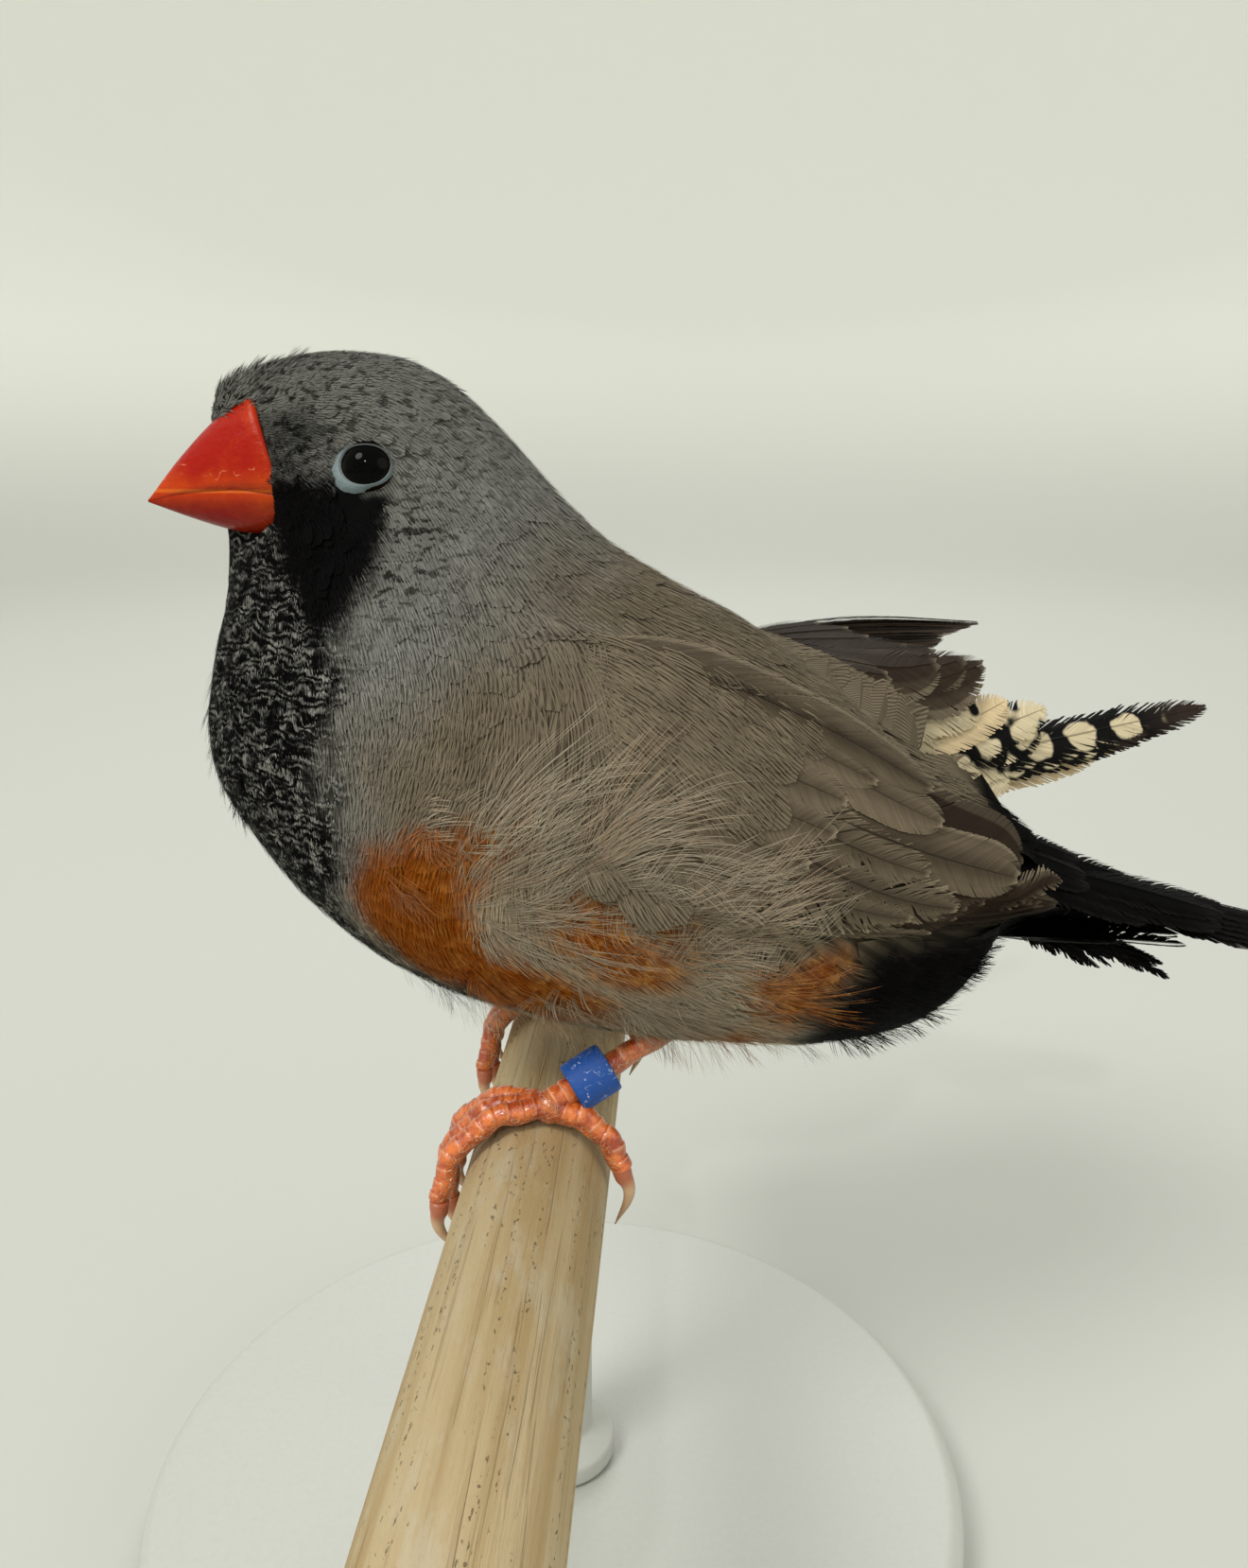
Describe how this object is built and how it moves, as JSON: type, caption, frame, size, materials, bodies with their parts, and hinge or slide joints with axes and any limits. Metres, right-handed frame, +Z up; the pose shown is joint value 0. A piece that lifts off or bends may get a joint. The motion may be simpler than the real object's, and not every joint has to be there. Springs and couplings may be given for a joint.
{
  "type": "zebra finch",
  "caption": "Life-size perched zebra finch with one wing held off its raised rump feathers, gripping a cut dowel that a plain round stand holds up.",
  "frame": {"origin": "centre of the stand's flat underside, on the floor, under the middle of the bird's feet", "axes": "+Z up; the bird faces -X with its left side towards -Y and its tail towards +X; the dowel runs along Y, turned 10.3 degrees from it towards +X at its far end"},
  "size_m": [0.1133, 0.098, 0.1113],
  "materials": {
    "grey_plumage": "fine soft feathering, dark face and chequered breast",
    "brown_plumage": "smooth overlapping flight feathers with pale edges",
    "dark_plumage": "loose black feathers, browner at the tips",
    "barred_plumage": "black feathers with cream spots",
    "bill": "glossy horn",
    "eye": "wet gloss",
    "leg": "glossy scutes",
    "claw": "worn horn",
    "ring": "lightly scratched, plain",
    "wood": "planed softwood dowel, unfinished",
    "stand": "satin pale grey enamel"
  },
  "bodies": {
    "root": {"head": "grey_plumage", "neck": "grey_plumage", "torso": "grey_plumage", "wing_left": "brown_plumage", "wing_right": "brown_plumage", "tail": "dark_plumage", "uppertail_coverts_left": "dark_plumage", "uppertail_coverts_right": "barred_plumage", "undertail_coverts": "dark_plumage", "bill_upper": "bill", "bill_lower": "bill", "eye_left": "eye", "eye_right": "eye", "leg_left": "leg", "leg_right": "leg", "foot_left": "leg", "foot_right": "leg", "leg_ring": "ring", "perch": "wood", "stand_base": "stand", "stand_rod": "stand", "claw_left_inner": "claw", "claw_left_middle": "claw", "claw_left_outer": "claw", "claw_left_hind": "claw", "claw_right_inner": "claw", "claw_right_middle": "claw", "claw_right_outer": "claw", "claw_right_hind": "claw"}
  },
  "joints": []
}
